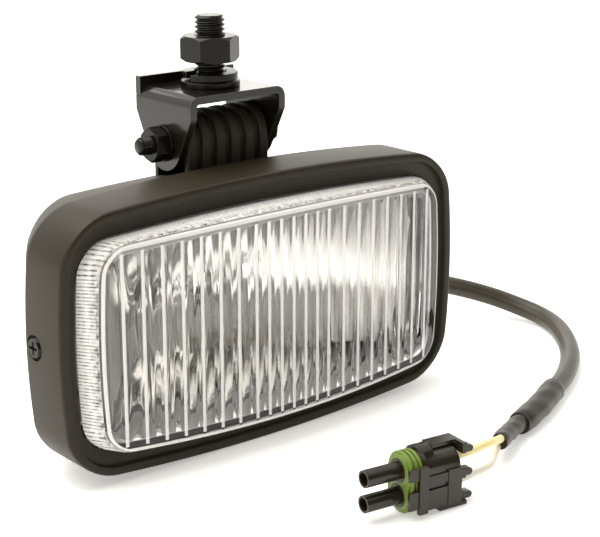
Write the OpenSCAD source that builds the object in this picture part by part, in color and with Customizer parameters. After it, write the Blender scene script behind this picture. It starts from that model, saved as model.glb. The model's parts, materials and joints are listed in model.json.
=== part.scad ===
// Rectangular swivel-mounted fog light on a stud bracket, with a sealed two-way plug on its cable.
// Lengths are in millimetres. X runs across the lamp, Y from the lens to the back, Z up.
// The origin is on the surface the lamp stands on, under the middle of its body.

/* [Lamp face] */
// Width of the bezel
lamp_w = 161.2; // [130:0.1:200]
// Height of the bezel at its middle
lamp_h = 88.7; // [78:0.1:115]
// Depth of the bezel from its front edge to its back edge
bezel_d = 20; // [19:0.5:26]
// Wall of the bezel
bezel_t = 2; // [1.6:0.1:2.6]
// Radius of the bezel's corners
corner_r = 16; // [10:0.5:22]
// How far each side of the bezel bows outwards
side_bow = 3.3; // [0:0.1:5]
// How far the top and the bottom are crowned
top_crown = 4.2; // [0:0.1:6]

/* [Lens] */
// Width of the bezel's side bars between its outer edge and the lens
side_bar = 6.4; // [5:0.1:12]
// Height of the bezel's top and bottom bars
top_bar = 8.7; // [7:0.1:14]
// How far the lens stands out in front of the bezel
lens_bulge = 9.6; // [6:0.1:13]
// Radius of the lens face's curve from side to side
lens_curve_r = 515; // [400:5:1200]
// Thickness of the glass
glass_t = 3.4; // [2.5:0.1:4.5]
// Spacing of the flutes in the middle of the lens
fine_flute = 5.07; // [4:0.01:6]
// Spacing of the flutes on each side of the middle
wide_flute = 6.9; // [5:0.05:7.4]
// Depth of a flute
flute_d = 0.9; // [0.4:0.1:1.4]

/* [Housing] */
// Wall of the housing and its back
housing_t = 2.2; // [1.8:0.1:3]
// Width of the housing's flat back
back_w = 96; // [80:1:110]
// Height of the housing's flat back
back_h = 48; // [40:1:56]
// Focal length of the reflector
focal_l = 26; // [24.5:0.5:27]

/* [Tilting bracket] */
// Width of the bracket over its two ears
bracket_w = 38.4; // [34:0.1:48]
// Depth of the bracket's top plate from front to back
bracket_d = 29.8; // [27:0.1:34]
// Thickness of the bracket's steel
plate_t = 2.5; // [2:0.1:3]
// Height of the pivot above the top of the bezel
pivot_up = 6.65; // [5.6:0.05:14]
// Height of the bracket's top face above the pivot
plate_up = 16.6; // [15.8:0.1:20]
// Height of the lip along the back edge of the top plate
lip_h = 3.4; // [2:0.1:6]
// Diameter of the pivot bolt
pivot_dia = 6; // [5:0.5:6.5]
// Radius of the finned boss round the pivot
boss_r = 9.6; // [8.5:0.1:10.4]
// Number of fins on the boss
fin_count = 6; // [3:1:7]
// Thickness of one fin
fin_t = 3.4; // [2:0.1:4]

/* [Mounting stud] */
// Diameter of the mounting stud
stud_dia = 10; // [8:1:12]
// Length of the stud above the bracket's top face
stud_l = 23; // [20:0.5:40]
// Width across the flats of the mounting nut
nut_af = 17; // [15:0.5:19]
// Height of the mounting nut
nut_h = 8.2; // [6:0.1:10]
// Gap between the washers and the loose nut
nut_gap = 2.8; // [0.5:0.1:4]

/* [Plug] */
// Height of the plug's body
plug_h = 16.4; // [15:0.1:18]
// Thickness of the plug's body from side to side
plug_t = 11.6; // [10:0.1:13]
// Length of the plug's body behind its seal
plug_l = 13.2; // [12:0.1:18]
// Length of the plug's seal
seal_l = 5.4; // [5:0.1:8]
// Distance between the plug's two ways
way_pitch = 7.9; // [7.4:0.1:8.3]
// Outer diameter of a way's tower
tower_dia = 5.3; // [5:0.1:5.8]

/* [Cable] */
// Diameter of the cable's jacket
cable_dia = 7.2; // [6:0.1:8]

/* [Hidden] */
$fn = 64;

eps = 0.01;
run_gap = 0.05;
slip_gap = 0.25;

// Heights and depths of the whole lamp. The body is centred on the pivot from front to back.
floor_z = -lamp_h / 2;
pivot_y = 32.8;
back_y = 2 * pivot_y + lens_bulge;
pivot_z = lamp_h / 2 + pivot_up;
pivot = [0, pivot_y, pivot_z];

// Bezel. Its lip holds the lens flange, the gasket and the reflector rim against the housing.
lip_y = 4;
rim_w = 3.2;
step_d = 1.6;
open_w = lamp_w - 2 * side_bar;
open_h = lamp_h - 2 * top_bar;
open_r = corner_r - side_bar + 1;
cavity_w = lamp_w - 2 * bezel_t;
cavity_h = lamp_h - 2 * bezel_t;
cavity_r = corner_r - bezel_t;

// Lens
lens_gap = 0.6;
lens_w = open_w - 2 * lens_gap;
lens_h = open_h - 2 * lens_gap;
lens_draft = 2.4;
flange_w = cavity_w - 3;
flange_h = cavity_h - 4;
flange_t = 3.5;
flange_back_y = lip_y + flange_t;
fine_count = 3;
flute_count = 10;
flute_steps = 4;

// Gasket, reflector rim and housing rim, one behind the other
gasket_t = 2;
rim_t = 1.5;
gasket_back_y = flange_back_y + gasket_t;
housing_y = gasket_back_y + rim_t;
housing_w = cavity_w - 2 * slip_gap;
housing_h = cavity_h - 2 * slip_gap;
straight_y = bezel_d + 2;
waist_y = 53;
waist_w = housing_w - 37.7;
waist_h = housing_h - 13;
foot_x = 30;
foot_w = 5;
foot_end_y = 46;

// Reflector and bulb, on one optical axis
dish_w = lens_w - 6;
dish_h = lens_h - 8;
dish_t = 1.5;
vertex_y = back_y - 13.2;
bulb_r = 5;
seat_r = 14;
seat_t = 1.8;
bulb_hole_r = bulb_r + 0.6;
base_r = 11;
base_t = 1.5;
base_y = vertex_y + seat_t;
focus_y = vertex_y - focal_l;
glass_len = base_y - focus_y + 5;
clip_wire_r = 0.7;

// The gland that the cable leaves by
gland_x = 20;
gland_z = -13.35;
gland_neck_r = 5;
gland_l = 7.6;

// Bezel screws
screw_y = 14.8;
screw_r = 2;
screw_head_r = 3.65;
screw_head_h = 1.3;
screw_l = 6;
screw_seat = 0.8;

// Bracket and pivot
ear_out = bracket_w / 2;
ear_in = ear_out - plate_t;
plate_top = pivot_z + plate_up;
fold_r = 3.6;
ear_r = 9;
ear_shoulder = 9.2;
ear_gap = 0.3;
boss_half = ear_in - ear_gap;
fin_pitch = (2 * boss_half - fin_t) / (fin_count - 1);
fin_depth = 2.6;
core_r = boss_r - fin_depth;
fin_down = 31;
pivot_r = pivot_dia / 2;
sleeve_in_r = pivot_r + run_gap;
sleeve_out_r = sleeve_in_r + 1;
sleeve_proud = 0.2;
pivot_washer_t = 1;
pivot_washer_r = 6;
pivot_nut_h = 4.8;
pivot_af = 10;
pivot_head_h = 4;
pivot_end_x = -29;
bolt_chamfer = 0.8;
stud_r = stud_dia / 2;
washer_t = 2;
spring_t = 3.4;
spring_r = stud_r + 4.05;
stud_chamfer = 1;
// A relief groove above the nut's place parts the stud's free end from the stretch that the nut fills
relief_from = washer_t + spring_t + nut_gap + nut_h;
relief_l = 0.8;
relief_r = stud_r - 0.7;

// Plug, lying on its side with its ways one above the other. Its towers point along -X, turned a little.
plug_mid = [-2.1, -71.5, floor_z + 9.95];
plug_turn = -8;
plug_x = -4;
tower_tip = plug_x - 17.5;
tower_deep = 9.5;
tower_wall = 0.6;
seal_h = plug_h + 2.7;
seal_w = plug_t + 0.4;
seal_x = plug_x - seal_l;
seal_wall = 1.8;
rib_deep = 0.8;
rib_w = 1;
rib_pitch = 1.6;
nose_w = seal_w - 2 * seal_wall;
nose_h = seal_h - 2 * seal_wall;
collar_l = 1.6;
hump_r = 4.4;
hump_l = 5.3;
panel_out = 0.6;
panel_top = 2.6;
guard_gap = 0.2;
guard_t = 1;
guard_l = 6.2;
guard_edge = 0.4;
guard_edge_l = 2.8;
recess_x = plug_x + 8.3;
recess_z = -1.1;
recess_h = 1.4;
lock_t = 1.6;
lock_gap = 0.3;
arm_gap = 0.2;
arm_t = 1.3;
nub_pitch = way_pitch - 0.5;
nub_r = 1.15;
nub_l = 1.6;
wire_r = 1.3;
way_r = 2;
terminal_r = 1.6;
seal_deep = 4;
plug_end_x = plug_x + plug_l;

// The cable's route, in the row's own frame: out of the gland, down behind the lamp, round on the
// surface it stands on and forward to the plug. The hanging points keep their share of the gland's height.
outer_sleeve_r = cable_dia / 2 + 0.5;
inner_sleeve_r = 2.9;
rest_z = cable_dia / 2;
mouth = [gland_x, back_y + gland_l - pivot_y, gland_z - floor_z];
function hung(x, y, share) = [x, y, rest_z + share * (mouth.z - rest_z)];
cable_points = [
    mouth, mouth + [0, 8, -0.5], hung(23, 68, 0.909), hung(33, 77, 0.818), hung(48, 81, 0.726),
    hung(66, 79, 0.635), hung(84, 71, 0.562), hung(101, 58, 0.489), hung(117, 41, 0.434),
    hung(132, 20, 0.343), hung(143, 8, 0.215), hung(150, -3, 0.088), hung(152, -14, 0.015),
    [147.5, -26, rest_z], [138.5, -38.5, rest_z], [128, -49.6, rest_z], [117, -58.5, rest_z],
    [105, -66, rest_z], [90, -73.5, rest_z + 0.4]
];
sleeve_z = outer_sleeve_r + 0.3;
outer_points = [[90, -73.5, sleeve_z], [75, -80.5, sleeve_z], [60, -86, sleeve_z]];
inner_points = [[60, -86, 4.8], [50, -90.5, 5.6], [39, -96.5, 7]];
// A point on a way's axis, x behind the plug's back
function way_point(x, side) =
    plug_mid - [0, pivot_y, floor_z]
    + [(plug_end_x + x) * cos(plug_turn), (plug_end_x + x) * sin(plug_turn), side * way_pitch / 2];
yellow_points = [
    [40.5, -95.8, 7.8], [38.5, -97.2, 8.4], [32, -101.6, 11], [25, -105.3, 13.4], way_point(7, 1), way_point(0.5, 1)
];
white_points = [
    [40.5, -95, 5.2], [38.5, -96, 5.2], [32, -100.4, 4.7], [25, -104.6, 5.3], way_point(7, -1), way_point(0.5, -1)
];

// Outlines. A rounded rectangle gets extra points along its sides, and is then bowed and crowned
// with the same curvature as the bezel's.
corner_steps = 6;
function between(a, b, n) = [for (i = [1:n]) a + (b - a) * i / (n + 1)];
function round_rect(w, h, r) =
    let (x = w / 2 - r, z = h / 2 - r, mid = [[x, z], [-x, z], [-x, -z], [x, -z]])
    [for (q = [0:3])
        let (out = r * [cos(90 * q + 90), sin(90 * q + 90)])
        each concat(
            [for (i = [0:corner_steps])
                let (a = 90 * (q + i / corner_steps)) mid[q] + r * [cos(a), sin(a)]],
            between(mid[q] + out, mid[(q + 1) % 4] + out, q % 2 == 0 ? 6 : 2))];
function bowed(w, h, r) =
    let (bow = side_bow * pow(h / lamp_h, 2), crown = top_crown * pow(w / lamp_w, 2))
    [for (p = round_rect(w, h, r))
        let (u = p.x / (w / 2), v = p.y / (h / 2)) [p.x - u * bow * v * v, p.y - v * crown * u * u]];

// A place for everything: modules draw round the lamp's face centre, and this stands them in the row.
module stand() {
    translate([0, -pivot_y, -floor_z]) children();
}

// A plate of the lamp's outline, from front_y to rear_y
module plate(w, h, r, front_y, rear_y) {
    translate([0, rear_y, 0])
        rotate([90, 0, 0])
            linear_extrude(rear_y - front_y)
                polygon(bowed(w, h, r));
}

// A cylinder along X from x0 to x1, at the given Y and Z
module along_x(r, x0, x1, y, z) {
    translate([x0, y, z]) rotate([0, 90, 0]) cylinder(r = r, h = x1 - x0);
}

// A cylinder along Y from y0 to y1, at the given X and Z
module along_y(r, y0, y1, x = 0, z = 0) {
    translate([x, y1, z]) rotate([90, 0, 0]) cylinder(r = r, h = y1 - y0);
}

// A hexagon prism along Z with its flats af apart and its corners eased
module hex(af, h) {
    corner = af / cos(30) / 2;
    intersection() {
        cylinder(r = corner, h = h, $fn = 6);
        rotate_extrude() polygon([
            [0, 0], [af / 2, 0], [corner, h * 0.12], [corner, h * 0.88], [af / 2, h], [0, h]]);
    }
}

// ---- Bezel ----
module bezel() {
    color([0.27, 0.25, 0.21]) stand() difference() {
        plate(lamp_w, lamp_h, corner_r, 0, bezel_d);
        plate(lamp_w - 2 * rim_w, lamp_h - 2 * rim_w, corner_r - rim_w, -1, step_d);
        plate(open_w, open_h, open_r, -1, bezel_d);
        plate(cavity_w, cavity_h, cavity_r, lip_y, bezel_d + 1);
        for (side = [-1, 1]) {
            mirror([side < 0 ? 1 : 0, 0, 0]) {
                along_x(screw_r + 0.2, lamp_w / 2 - 5, lamp_w / 2 + 1, screw_y, 0);
                along_x(screw_head_r + 0.4, lamp_w / 2 - screw_seat, lamp_w / 2 + 1, screw_y, 0);
            }
        }
    }
}

module bezel_screws() {
    color([0.16, 0.15, 0.14]) stand()
        for (side = [0, 1]) mirror([side, 0, 0]) {
            head_x = lamp_w / 2 - screw_seat;
            along_x(screw_r, head_x - screw_l, head_x + eps, screw_y, 0);
            translate([head_x, screw_y, 0]) rotate([0, 90, 0]) difference() {
                cylinder(r1 = screw_head_r, r2 = screw_head_r - 0.7, h = screw_head_h);
                for (turn = [0, 90]) rotate(turn)
                    translate([-2.1, -0.4, screw_head_h - 0.9]) cube([4.2, 0.8, 1]);
            }
        }
}

// ---- Lens ----
function flute_x(i) =
    sign(i) * (min(abs(i), fine_count) * fine_flute + max(abs(i) - fine_count, 0) * wide_flute);
function face_y(x) = -lens_bulge + x * x / (2 * lens_curve_r);
function flute_y(x, t) = face_y(x) + glass_t - flute_d * 4 * t * (1 - t);
inner_w = lens_w - 2 * glass_t - 2 * lens_draft;

// Everything behind the lens's front face
module behind_face() {
    half = lens_w / 2 + 5;
    translate([0, 0, -lamp_h / 2]) linear_extrude(lamp_h) polygon(concat(
        [for (i = [-12:12]) [half * i / 12, face_y(half * i / 12)]],
        [[half, bezel_d], [-half, bezel_d]]));
}

// Everything behind the flutes on the inside of the glass
module behind_flutes() {
    half = lens_w / 2;
    points = [for (i = [-flute_count:flute_count - 1], s = [0:flute_steps - 1])
        let (t = s / flute_steps, x = flute_x(i) + (flute_x(i + 1) - flute_x(i)) * t) [x, flute_y(x, t)]];
    translate([0, 0, -lamp_h / 2]) linear_extrude(lamp_h) polygon(concat(
        [[-half, flute_y(half, 0)]], points, [[half, flute_y(half, 0)], [half, bezel_d], [-half, bezel_d]]));
}

module lens() {
    color([0.93, 0.94, 0.93, 0.35]) stand() difference() {
        union() {
            intersection() {
                hull() {
                    plate(lens_w, lens_h, open_r - lens_gap, lip_y, flange_back_y);
                    plate(lens_w - 2 * lens_draft, lens_h - 2 * lens_draft, open_r - lens_gap - 1,
                        -lens_bulge, -lens_bulge + 1);
                }
                behind_face();
            }
            plate(flange_w, flange_h, cavity_r - 2, lip_y, flange_back_y);
        }
        intersection() {
            hull() {
                plate(lens_w - 2 * glass_t, lens_h - 2 * glass_t, open_r - glass_t, lip_y, flange_back_y + 1);
                plate(inner_w, lens_h - 2 * glass_t - 2 * lens_draft, open_r - glass_t - 1,
                    -lens_bulge, -lens_bulge + 1);
            }
            behind_flutes();
        }
    }
}

module lens_gasket() {
    color([0.12, 0.12, 0.12]) stand() difference() {
        plate(flange_w, flange_h, cavity_r - 2, flange_back_y, gasket_back_y);
        plate(lens_w - 2, lens_h - 2, open_r, flange_back_y - 1, gasket_back_y + 1);
    }
}

// ---- Reflector ----
// The space in front of a dish whose walls stand grow mm outside the reflecting surface
module dish_space(grow) {
    far_r = norm([dish_w / 2, dish_h / 2]) + 4;
    steps = 14;
    intersection() {
        translate([0, vertex_y + grow, 0]) rotate([90, 0, 0]) rotate_extrude() polygon(concat(
            [for (i = [0:steps]) let (r = far_r * i / steps) [r + (i > 0 ? grow : 0), r * r / (4 * focal_l)]],
            [[0, far_r * far_r / (4 * focal_l)]]));
        plate(dish_w + 2 * grow, dish_h + 2 * grow, open_r - 3 + grow,
            gasket_back_y - (grow > 0 ? 0 : 1), back_y);
    }
}

module reflector() {
    color([0.86, 0.85, 0.83]) stand() difference() {
        union() {
            dish_space(dish_t);
            plate(housing_w - 2, housing_h - 2, cavity_r - 1, gasket_back_y, housing_y);
            along_y(seat_r, vertex_y - 2, base_y);
        }
        dish_space(0);
        along_y(bulb_hole_r, vertex_y - 10, base_y + 1);
    }
}

// ---- Housing ----
module shell(grow, front_y, end_y) {
    hull() {
        plate(housing_w + 2 * grow, housing_h + 2 * grow, cavity_r - slip_gap + grow, front_y, straight_y);
        plate(waist_w + 2 * grow, waist_h + 2 * grow, cavity_r + 2 + grow, waist_y - 1, waist_y);
        plate(back_w + 2 * grow, back_h + 2 * grow, cavity_r + 2 + grow, end_y - 1, end_y);
    }
}

// One fin's side view: round over the pivot, and straight down into the housing
module fin_side(r) {
    circle(r = r);
    translate([-r, -fin_down]) square([2 * r, fin_down]);
}

module finned_boss() {
    translate(pivot) rotate([90, 0, 90]) {
        translate([0, 0, -boss_half]) linear_extrude(2 * boss_half) fin_side(core_r);
        for (i = [0:fin_count - 1])
            translate([0, 0, -boss_half + i * fin_pitch]) linear_extrude(fin_t) fin_side(boss_r);
    }
}

module rear_housing() {
    color([0.28, 0.26, 0.22]) stand() difference() {
        union() {
            shell(0, housing_y, back_y);
            finned_boss();
            for (x = [-foot_x, foot_x])
                translate([x - foot_w / 2, bezel_d + 1, floor_z]) cube([foot_w, foot_end_y - bezel_d - 1, 20]);
        }
        shell(-housing_t, housing_y - 1, back_y - housing_t);
        along_x(sleeve_out_r, -boss_half - 1, boss_half + 1, pivot_y, pivot_z);
        for (side = [0, 1]) mirror([side, 0, 0])
            along_x(screw_r - 0.1, lamp_w / 2 - 8, lamp_w / 2, screw_y, 0);
        along_y(gland_neck_r, back_y - 6, back_y + 1, gland_x, gland_z);
    }
}

module pivot_sleeve() {
    color([0.55, 0.54, 0.52]) stand() difference() {
        along_x(sleeve_out_r, -boss_half - sleeve_proud, boss_half + sleeve_proud, pivot_y, pivot_z);
        along_x(sleeve_in_r, -boss_half - 1, boss_half + 1, pivot_y, pivot_z);
    }
}

// ---- Bulb ----
module bulb_glass() {
    color([0.9, 0.93, 0.95, 0.3]) stand() difference() {
        union() {
            along_y(bulb_r, base_y - glass_len + bulb_r, base_y);
            translate([0, base_y - glass_len + bulb_r, 0]) sphere(r = bulb_r);
        }
        union() {
            along_y(bulb_r - 0.8, base_y - glass_len + bulb_r, base_y - 6);
            translate([0, base_y - glass_len + bulb_r, 0]) sphere(r = bulb_r - 0.8);
        }
    }
}

// The coil lies across the bulb between two support wires
module bulb_filament() {
    color([0.75, 0.72, 0.66]) stand() {
        along_x(0.6, -2.6, 2.6, focus_y, 0);
        for (x = [-2.3, 2.3]) along_y(0.3, focus_y, base_y - 6, x, 0);
    }
}

module bulb_base() {
    color([0.72, 0.7, 0.66]) stand() {
        difference() {
            along_y(base_r, base_y, base_y + base_t);
            translate([-1.6, base_y - 1, base_r - 2]) cube([3.2, base_t + 2, 3]);
        }
        along_y(4, base_y + base_t, base_y + base_t + 3.5);
    }
}

// A wire bail pressed over the base, held by two screws in the reflector's back
clip_y = base_y + base_t + clip_wire_r;
clip_half_x = seat_r + 3;
module bulb_clip() {
    color([0.7, 0.7, 0.68]) stand() {
        for (z = [-7, 7]) along_x(clip_wire_r, -clip_half_x, clip_half_x, clip_y, z);
        for (x = [-clip_half_x, clip_half_x])
            translate([x, clip_y, -7]) cylinder(r = clip_wire_r, h = 14);
    }
}

module clip_screws() {
    color([0.5, 0.5, 0.48]) stand()
        for (x = [-clip_half_x, clip_half_x]) {
            along_y(1.4, dish_back_y(clip_half_x), clip_y + clip_wire_r, x, 10);
            along_y(2.8, clip_y + clip_wire_r, clip_y + clip_wire_r + 1.4, x, 9.3);
        }
}
function dish_back_y(x) = vertex_y - x * x / (4 * focal_l) - 0.4;

// ---- Leads inside the lamp ----
lead_y = back_y - housing_t - 2.2;
function lead_points(z, x) = [
    [x, base_y + base_t + 2, z], [x + 2, lead_y, z * 1.5], [x + 9, lead_y, z * 1.5 - 5],
    [gland_x, lead_y, gland_z + z / 4]];

module bulb_lead() {
    color([0.85, 0.75, 0.3]) stand() sweep(lead_points(0, 4), 1, 8, 3);
}

module earth_lead() {
    color([0.85, 0.84, 0.8]) stand() sweep([
        [-9, base_y + base_t, -9.4], [-6, lead_y - 1, -14], [4, lead_y - 1, -17.5],
        [gland_x - 1, lead_y - 1, gland_z - 2.6]], 1, 8, 3);
}

module lead_terminals() {
    color([0.78, 0.76, 0.7]) stand() {
        translate([-0.4, base_y + base_t + 3.5, -3]) cube([0.8, 2.4, 6]);
        translate([-11, base_y + base_t, -11]) cube([4.4, 0.8, 3]);
    }
}

// ---- Cable ----
// A smooth curve through the points: n steps between each pair, then a ring of sides round each step
function curve_at(a, b, c, d, t) =
    0.5 * ((2 * b) + (c - a) * t + (2 * a - 5 * b + 4 * c - d) * t * t + (3 * b - a - 3 * c + d) * t * t * t);
function smooth(p, n) = concat(
    [for (i = [0:len(p) - 2], s = [0:n - 1])
        curve_at(p[max(i - 1, 0)], p[i], p[i + 1], p[min(i + 2, len(p) - 1)], s / n)],
    [p[len(p) - 1]]);
function unit(v) = v / norm(v);
module sweep(points, r, sides, steps) {
    path = smooth(points, steps);
    last = len(path) - 1;
    rings = [for (i = [0:last])
        let (
            ahead = unit(path[min(i + 1, last)] - path[max(i - 1, 0)]),
            across = unit(cross(ahead, [0, 0, 1])),
            up = cross(across, ahead)
        )
        for (s = [0:sides - 1]) path[i] + r * (cos(360 * s / sides) * across + sin(360 * s / sides) * up)];
    walls = [for (i = [0:last - 1], s = [0:sides - 1])
        let (a = i * sides + s, b = i * sides + (s + 1) % sides)
        each [[a, b, a + sides], [b, b + sides, a + sides]]];
    polyhedron(rings, concat(
        walls, [[for (s = [sides - 1:-1:0]) s], [for (s = [0:sides - 1]) last * sides + s]]));
}

module cable_grommet() {
    color([0.13, 0.13, 0.12]) stand() difference() {
        union() {
            along_y(gland_neck_r, back_y - housing_t, back_y, gland_x, gland_z);
            translate([gland_x, back_y, gland_z]) rotate([-90, 0, 0])
                cylinder(r1 = 7.4, r2 = cable_dia / 2 + 0.9, h = gland_l);
            along_y(7, back_y - housing_t - 1.6, back_y - housing_t, gland_x, gland_z);
        }
        along_y(cable_dia / 2 - 0.4, back_y - 8, back_y - housing_t, gland_x, gland_z);
    }
}

module cable() {
    color([0.33, 0.31, 0.26]) sweep(cable_points, cable_dia / 2, 10, 3);
}

module outer_sleeve() {
    color([0.29, 0.27, 0.22]) sweep(outer_points, outer_sleeve_r, 10, 2);
}

module inner_sleeve() {
    color([0.24, 0.23, 0.2]) sweep(inner_points, inner_sleeve_r, 10, 2);
}

module yellow_wire() {
    color([0.95, 0.86, 0.5]) sweep(yellow_points, wire_r, 8, 2);
}

module white_wire() {
    color([0.95, 0.93, 0.88]) sweep(white_points, wire_r, 8, 2);
}

// ---- Plug ----
// Modules here draw round the plug's middle, with its ways pointing along -X.
module at_plug() {
    stand() translate(plug_mid) rotate(plug_turn) children();
}

module each_way() {
    for (side = [-0.5, 0.5]) translate([0, 0, side * way_pitch]) children();
}

// A block with rounded long edges, from x0 to x1
module soft_block(x0, x1, w, h, r) {
    translate([x0, 0, 0]) rotate([90, 0, 90]) linear_extrude(x1 - x0) polygon(round_rect(w, h, r));
}

// A block with square edges, from x0 to x1, y0 to y1 and z0 to z1
module box(x0, x1, y0, y1, z0, z1) {
    translate([x0, y0, z0]) cube([x1 - x0, y1 - y0, z1 - z0]);
}

// A guard over the seal's near side: a plate with a raised edge, and two fingers that reach forward
module seal_guard() {
    inner = -seal_w / 2 - guard_gap;
    outer = inner - guard_t;
    edge_x = plug_x - guard_edge_l;
    low = -plug_h / 2;
    high = plug_h / 2 - 1.9;
    box(edge_x, plug_x + 0.3, outer - guard_edge, inner, low, high);
    box(plug_x, plug_x + 0.3, inner - 0.1, 0, low + 1, high - 1);
    box(plug_x - guard_l, edge_x + 0.1, outer, inner, low + 1.8, recess_z + 0.2);
    box(plug_x - guard_l, edge_x + 0.1, outer, inner, panel_top + 0.1, high);
}

module plug_body() {
    panel_y = -plug_t / 2 - panel_out;
    color([0.13, 0.12, 0.1]) at_plug() difference() {
        union() {
            each_way() along_x(tower_dia / 2, tower_tip, plug_x, 0, 0);
            soft_block(seal_x + 0.5, plug_x, nose_w, nose_h, nose_w / 2 - 0.1);
            soft_block(plug_x, plug_x + collar_l, seal_w, seal_h - 0.6, seal_w / 2 - 0.1);
            soft_block(plug_x, plug_end_x, plug_t, plug_h, plug_t / 2 - 0.6);
            along_x(hump_r, plug_x + 0.5, plug_x + hump_l, 0.8, seal_h / 2 - hump_r + 0.6);
            box(plug_x, recess_x, panel_y, 0, -plug_h / 2 + 0.2, panel_top);
            box(recess_x, plug_end_x, panel_y - 0.25, 0, -plug_h / 2 + 0.2, panel_top + 0.6);
            seal_guard();
        }
        each_way() along_x(tower_dia / 2 - tower_wall, tower_tip - 1, tower_tip + tower_deep, 0, 0);
        each_way() along_x(way_r, plug_x + 3, plug_end_x + 1, 0, 0);
        translate([0, 0, recess_z])
            box(plug_x + 0.8, recess_x, panel_y - 1, panel_y + 0.6, -recess_h / 2, recess_h / 2);
    }
}

module plug_terminals() {
    color([0.8, 0.78, 0.72]) at_plug() each_way() {
        along_x(0.9, tower_tip + 5, tower_tip + tower_deep, 0, 0);
        along_x(terminal_r, plug_x + 3, plug_end_x - seal_deep, 0, 0);
    }
}

module wire_seals() {
    color([0.45, 0.6, 0.25]) at_plug() each_way()
        along_x(way_r, plug_end_x - seal_deep, plug_end_x + 0.6, 0, 0);
}

// Three soft ribs on a sleeve round the plug's nose
module plug_seal() {
    sleeve_w = seal_w - 2 * rib_deep;
    color([0.5, 0.63, 0.27]) at_plug() difference() {
        union() {
            soft_block(seal_x, plug_x, sleeve_w, seal_h - 2 * rib_deep, sleeve_w / 2 - 0.1);
            for (i = [0:2]) soft_block(plug_x - 0.4 - i * rib_pitch - rib_w, plug_x - 0.4 - i * rib_pitch,
                seal_w, seal_h, seal_w / 2 - 0.1);
        }
        soft_block(seal_x - 1, plug_x + 1, nose_w, nose_h, nose_w / 2 - 0.1);
    }
}

// The second lock closes over the plug's back and swings out round a pin along its far side
lock_hinge = [plug_end_x - 7, plug_t / 2 + lock_gap + lock_t / 2, 0];
lock_back_x = plug_end_x + lock_gap + 0.9;
lock_front_y = -5;
lock_mid_y = 4;
arm_front_y = [lock_front_y - 0.8, -1];
slot_half = 2.4;
module plug_lock() {
    arm_z = plug_h / 2 + arm_gap;
    arm_x = plug_x + hump_l + 0.6;
    far_y = lock_hinge.y + lock_t / 2;
    back_x = lock_back_x + lock_t;
    color([0.12, 0.11, 0.1]) at_plug() difference() {
        union() {
            translate([lock_hinge.x, lock_hinge.y, -4]) cylinder(r = lock_t / 2, h = 8);
            box(lock_hinge.x, back_x, lock_hinge.y - lock_t / 2, far_y, -4, 4);
            box(lock_back_x, back_x, lock_front_y, lock_mid_y, -arm_z - arm_t, arm_z + arm_t);
            box(lock_back_x, back_x, lock_mid_y - eps, far_y, -5, 5);
            for (i = [0, 1]) translate([0, 0, (2 * i - 1) * (arm_z + arm_t / 2)])
                box(arm_x, back_x, arm_front_y[i], lock_mid_y, -arm_t / 2, arm_t / 2);
            for (z = [-1, 0, 1]) translate([back_x, lock_front_y + 0.4, z * nub_pitch]) {
                box(-0.5, nub_l, 0, 3, -nub_r, nub_r);
                translate([nub_l, 3, 0]) rotate([90, 0, 0]) cylinder(r = nub_r, h = 3);
            }
        }
        each_way() box(lock_back_x - 1, back_x + 3, lock_front_y - 1, slot_half, -slot_half, slot_half);
    }
}

// ---- Bracket ----
// The angle, round the pivot, at which a line from the point p touches the ear's round end
function touch_angle(p, turn) = atan2(p.y, p.x) + turn * acos(ear_r / norm(p));

// An ear seen from the side, round the pivot: a broad top that tapers to a round end
ear_steps = 24;
module ear_side() {
    half = bracket_d / 2;
    top = plate_up + lip_h;
    left = [-half, ear_shoulder];
    right = [half, ear_shoulder];
    from = touch_angle(left, 1);
    to = touch_angle(right, -1) + 360;
    polygon(concat(
        [[half, top], [-half, top], left],
        [for (i = [0:ear_steps]) let (a = from + (to - from) * i / ear_steps) ear_r * [cos(a), sin(a)]],
        [right]));
}

// The bent strip seen from the front, in the width and height that its outer or inner face has
module fold_front(half_w, top, r) {
    translate([-half_w, -20]) square([2 * half_w, top - r + 20]);
    translate([-half_w + r, 0]) square([2 * (half_w - r), top]);
    for (x = [-half_w + r, half_w - r]) translate([x, top - r]) circle(r = r);
}

module bracket() {
    color([0.13, 0.12, 0.11]) stand() translate(pivot) difference() {
        union() {
            intersection() {
                translate([0, bracket_d, 0]) rotate([90, 0, 0]) linear_extrude(2 * bracket_d) difference() {
                    fold_front(ear_out, plate_up, fold_r);
                    translate([0, -eps]) fold_front(ear_in, plate_up - plate_t + eps, fold_r - plate_t);
                }
                translate([-ear_out - 1, 0, 0]) rotate([90, 0, 90]) linear_extrude(bracket_w + 2) ear_side();
            }
            translate([-ear_out, bracket_d / 2 - plate_t, plate_up - plate_t])
                cube([bracket_w, plate_t, plate_t + lip_h]);
        }
        along_x(pivot_r, -ear_out - 1, ear_out + 1, 0, 0);
        translate([0, 0, plate_up - plate_t - 1]) cylinder(r = stud_r, h = plate_t + 2);
    }
}

// Height of a point above the bracket's top face, in the lamp's frame
module on_plate(height) {
    stand() translate([0, pivot_y, plate_top + height]) children();
}

module mounting_stud() {
    color([0.14, 0.13, 0.12]) on_plate(0) {
        translate([0, 0, -plate_t]) cylinder(r = stud_r, h = plate_t + relief_from);
        translate([0, 0, relief_from - eps]) cylinder(r = relief_r, h = relief_l + 2 * eps);
        translate([0, 0, relief_from + relief_l])
            cylinder(r = stud_r, h = stud_l - relief_from - relief_l - stud_chamfer);
        translate([0, 0, stud_l - stud_chamfer])
            cylinder(r1 = stud_r, r2 = stud_r - stud_chamfer, h = stud_chamfer);
    }
}

module flat_washer() {
    color([0.15, 0.14, 0.13]) on_plate(0) difference() {
        cylinder(r = spring_r + 0.6, h = washer_t);
        translate([0, 0, -1]) cylinder(r = stud_r + slip_gap, h = washer_t + 2);
    }
}

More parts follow.
